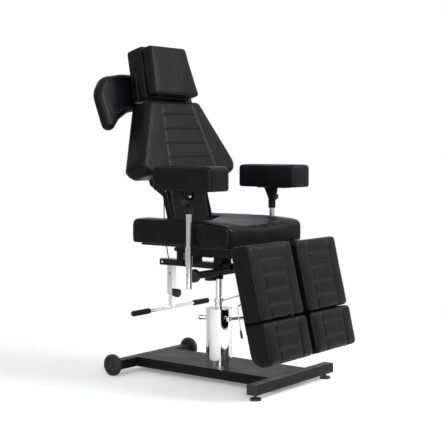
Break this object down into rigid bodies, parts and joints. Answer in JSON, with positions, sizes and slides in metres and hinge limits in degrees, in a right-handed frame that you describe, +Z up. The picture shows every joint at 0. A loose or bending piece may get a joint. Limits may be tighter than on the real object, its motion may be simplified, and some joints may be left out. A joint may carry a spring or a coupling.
{
  "type": "tattoo chair",
  "caption": "Black hydraulic tattoo chair: split leg rests with foot pads, reclining back, head rest with a rear wing pad, arm rests on posts and an H-shaped wheeled base.",
  "frame": {"origin": "on the floor, under the middle of the whole chair's box", "axes": "+Z up, -Y the way the sitter faces, +X to the sitter's left"},
  "size_m": [0.768, 1.0332, 1.5258],
  "materials": {
    "black_vinyl": "satin",
    "board_black": "matte",
    "black_steel": "satin",
    "chrome": "polished",
    "bright_steel": "satin",
    "black_plastic": "matte",
    "knob_plastic": "gloss",
    "foam_grip": "matte",
    "wheel_rubber": "matte"
  },
  "bodies": {
    "base": {"front_crossbar": "black_steel", "rear_crossbar": "black_steel", "base_deck": "black_steel", "bar_end_caps": "black_plastic", "levelling_feet": "black_plastic", "rear_axle": "bright_steel", "pump_body": "black_steel", "pump_cover": "chrome"},
    "right_wheel_body": {"right_wheel": "wheel_rubber"},
    "left_wheel_body": {"left_wheel": "wheel_rubber"},
    "lock_lever_body": {"turn_lock_lever": "chrome"},
    "pedal_body": {"foot_pedal": "chrome"},
    "ram_body": {"ram": "chrome"},
    "seat_body": {"saddle": "black_steel", "saddle_knobs": "knob_plastic", "seat_rail": "black_steel", "rail_brackets": "black_steel", "seat_frame": "black_steel", "seat_board": "board_black", "seat_cushion": "black_vinyl", "back_hinge": "bright_steel", "gas_spring": "black_steel", "recline_cable": "foam_grip", "arm_sleeves": "chrome", "leg_axle": "bright_steel"},
    "brake_knob_body": {"turn_brake_knob": "knob_plastic"},
    "back_body": {"back_frame": "black_steel", "lumbar_pad": "black_vinyl", "back_board": "board_black", "back_cushion": "black_vinyl"},
    "gas_rod_body": {"gas_rod": "chrome"},
    "headrest_body": {"head_posts": "chrome", "headrest_rear_pad": "black_vinyl", "headrest_front_pad": "black_vinyl", "wing_hinge": "black_steel"},
    "wing_body": {"wing_leaf": "black_steel", "wing_pad": "black_vinyl"},
    "tee_body": {"tee_bar": "chrome", "tee_grips": "foam_grip"},
    "tee_knob_body": {"tee_knob": "knob_plastic"},
    "right_arm_post_body": {"right_arm_post": "chrome"},
    "right_arm_head_body": {"right_arm_head": "black_steel"},
    "right_arm_rest_body": {"right_arm_bracket": "black_steel", "right_arm_cushion": "black_vinyl"},
    "right_arm_knob_body": {"right_arm_knob": "knob_plastic"},
    "right_leg_body": {"right_leg_arm": "black_steel"},
    "right_splay_body": {"right_leg_guides": "black_steel", "right_leg_cushion": "black_vinyl"},
    "right_foot_body": {"right_foot_rods": "chrome", "right_foot_cushion": "black_vinyl"},
    "left_arm_post_body": {"left_arm_post": "chrome"},
    "left_arm_head_body": {"left_arm_head": "black_steel"},
    "left_arm_rest_body": {"left_arm_bracket": "black_steel", "left_arm_cushion": "black_vinyl"},
    "left_arm_knob_body": {"left_arm_knob": "knob_plastic"},
    "left_leg_body": {"left_leg_arm": "black_steel"},
    "left_splay_body": {"left_leg_guides": "black_steel", "left_leg_cushion": "black_vinyl"},
    "left_foot_body": {"left_foot_rods": "chrome", "left_foot_cushion": "black_vinyl"}
  },
  "joints": [
    {"name": "right_wheel_spin", "type": "hinge", "parent": "base", "child": "right_wheel_body", "pos_m": [-0.278, 0.4237, 0.05], "axis": [1, 0, 0], "continuous": true},
    {"name": "left_wheel_spin", "type": "hinge", "parent": "base", "child": "left_wheel_body", "pos_m": [0.278, 0.4237, 0.05], "axis": [1, 0, 0], "continuous": true},
    {"name": "seat_lift", "type": "slide", "parent": "base", "child": "ram_body", "axis": [0, 0, 1], "range_m": [-0.05, 0.15]},
    {"name": "seat_turn", "type": "hinge", "parent": "ram_body", "child": "seat_body", "pos_m": [0, 0.0167, 0.48], "axis": [0, 0, 1], "continuous": true},
    {"name": "lock_lever_turn", "type": "hinge", "parent": "base", "child": "lock_lever_body", "pos_m": [0, 0.0167, 0.357], "axis": [0, 0, 1], "range_deg": [-20, 20]},
    {"name": "pedal_press", "type": "hinge", "parent": "base", "child": "pedal_body", "pos_m": [-0.01856, -0.02702, 0.281], "axis": [0.9205, -0.3907, 0], "range_deg": [0, 14], "stiffness_Nm_per_rad": 12, "springref_deg": -20.05},
    {"name": "brake_knob_turn", "type": "hinge", "parent": "seat_body", "child": "brake_knob_body", "pos_m": [0, 0.0647, 0.45], "axis": [0, 0, 1], "continuous": true},
    {"name": "back_recline", "type": "hinge", "parent": "seat_body", "child": "back_body", "pos_m": [0, 0.1667, 0.65], "axis": [-1, 0, 0], "range_deg": [0, 70], "deforming": ["recline_cable"]},
    {"name": "gas_rod_slide", "type": "slide", "parent": "seat_body", "child": "gas_rod_body", "axis": [0, -1, 0], "range_m": [0, 0.109]},
    {"name": "headrest_height", "type": "slide", "parent": "back_body", "child": "headrest_body", "axis": [0, 0.2622, 0.965], "range_m": [0, 0.09]},
    {"name": "wing_swing", "type": "hinge", "parent": "headrest_body", "child": "wing_body", "pos_m": [0, 0.45306, 1.39929], "axis": [1, 0, 0], "range_deg": [0, 80]},
    {"name": "tee_height", "type": "slide", "parent": "seat_body", "child": "tee_body", "axis": [0, 0, 1], "range_m": [-0.04, 0.045]},
    {"name": "tee_knob_turn", "type": "hinge", "parent": "seat_body", "child": "tee_knob_body", "pos_m": [0, 0.2667, 0.369], "axis": [0, -1, 0], "continuous": true},
    {"name": "right_arm_height", "type": "slide", "parent": "seat_body", "child": "right_arm_post_body", "axis": [0, 0, 1], "range_m": [-0.055, 0.06]},
    {"name": "right_arm_turn", "type": "hinge", "parent": "right_arm_post_body", "child": "right_arm_head_body", "pos_m": [-0.312, -0.0603, 0.785], "axis": [0, 0, 1], "range_deg": [-90, 90]},
    {"name": "right_arm_tilt", "type": "hinge", "parent": "right_arm_head_body", "child": "right_arm_rest_body", "pos_m": [-0.312, -0.0603, 0.822], "axis": [-1, 0, 0], "range_deg": [-15, 30]},
    {"name": "right_arm_knob_turn", "type": "hinge", "parent": "right_arm_rest_body", "child": "right_arm_knob_body", "pos_m": [-0.335, -0.0603, 0.822], "axis": [1, 0, 0], "continuous": true},
    {"name": "right_leg_raise", "type": "hinge", "parent": "seat_body", "child": "right_leg_body", "pos_m": [0, -0.2833, 0.608], "axis": [-1, 0, 0], "range_deg": [0, 76]},
    {"name": "right_leg_splay", "type": "hinge", "parent": "right_leg_body", "child": "right_splay_body", "pos_m": [-0.272, -0.30306, 0.58605], "axis": [0, 0.9715, -0.2368], "range_deg": [0, 20]},
    {"name": "right_foot_length", "type": "slide", "parent": "right_splay_body", "child": "right_foot_body", "axis": [0, -0.2368, -0.9715], "range_m": [0, 0.1]},
    {"name": "left_arm_height", "type": "slide", "parent": "seat_body", "child": "left_arm_post_body", "axis": [0, 0, 1], "range_m": [-0.055, 0.06]},
    {"name": "left_arm_turn", "type": "hinge", "parent": "left_arm_post_body", "child": "left_arm_head_body", "pos_m": [0.312, -0.0603, 0.785], "axis": [0, 0, 1], "range_deg": [-90, 90]},
    {"name": "left_arm_tilt", "type": "hinge", "parent": "left_arm_head_body", "child": "left_arm_rest_body", "pos_m": [0.312, -0.0603, 0.822], "axis": [-1, 0, 0], "range_deg": [-15, 30]},
    {"name": "left_arm_knob_turn", "type": "hinge", "parent": "left_arm_rest_body", "child": "left_arm_knob_body", "pos_m": [0.335, -0.0603, 0.822], "axis": [1, 0, 0], "continuous": true},
    {"name": "left_leg_raise", "type": "hinge", "parent": "seat_body", "child": "left_leg_body", "pos_m": [0, -0.2833, 0.608], "axis": [-1, 0, 0], "range_deg": [0, 76]},
    {"name": "left_leg_splay", "type": "hinge", "parent": "left_leg_body", "child": "left_splay_body", "pos_m": [0.272, -0.30306, 0.58605], "axis": [0, -0.9715, 0.2368], "range_deg": [0, 20]},
    {"name": "left_foot_length", "type": "slide", "parent": "left_splay_body", "child": "left_foot_body", "axis": [0, -0.2368, -0.9715], "range_m": [0, 0.1]}
  ],
  "couplings": [
    {"joint": "gas_rod_slide", "follows": "back_recline", "m_per_rad": 0.0892}
  ]
}
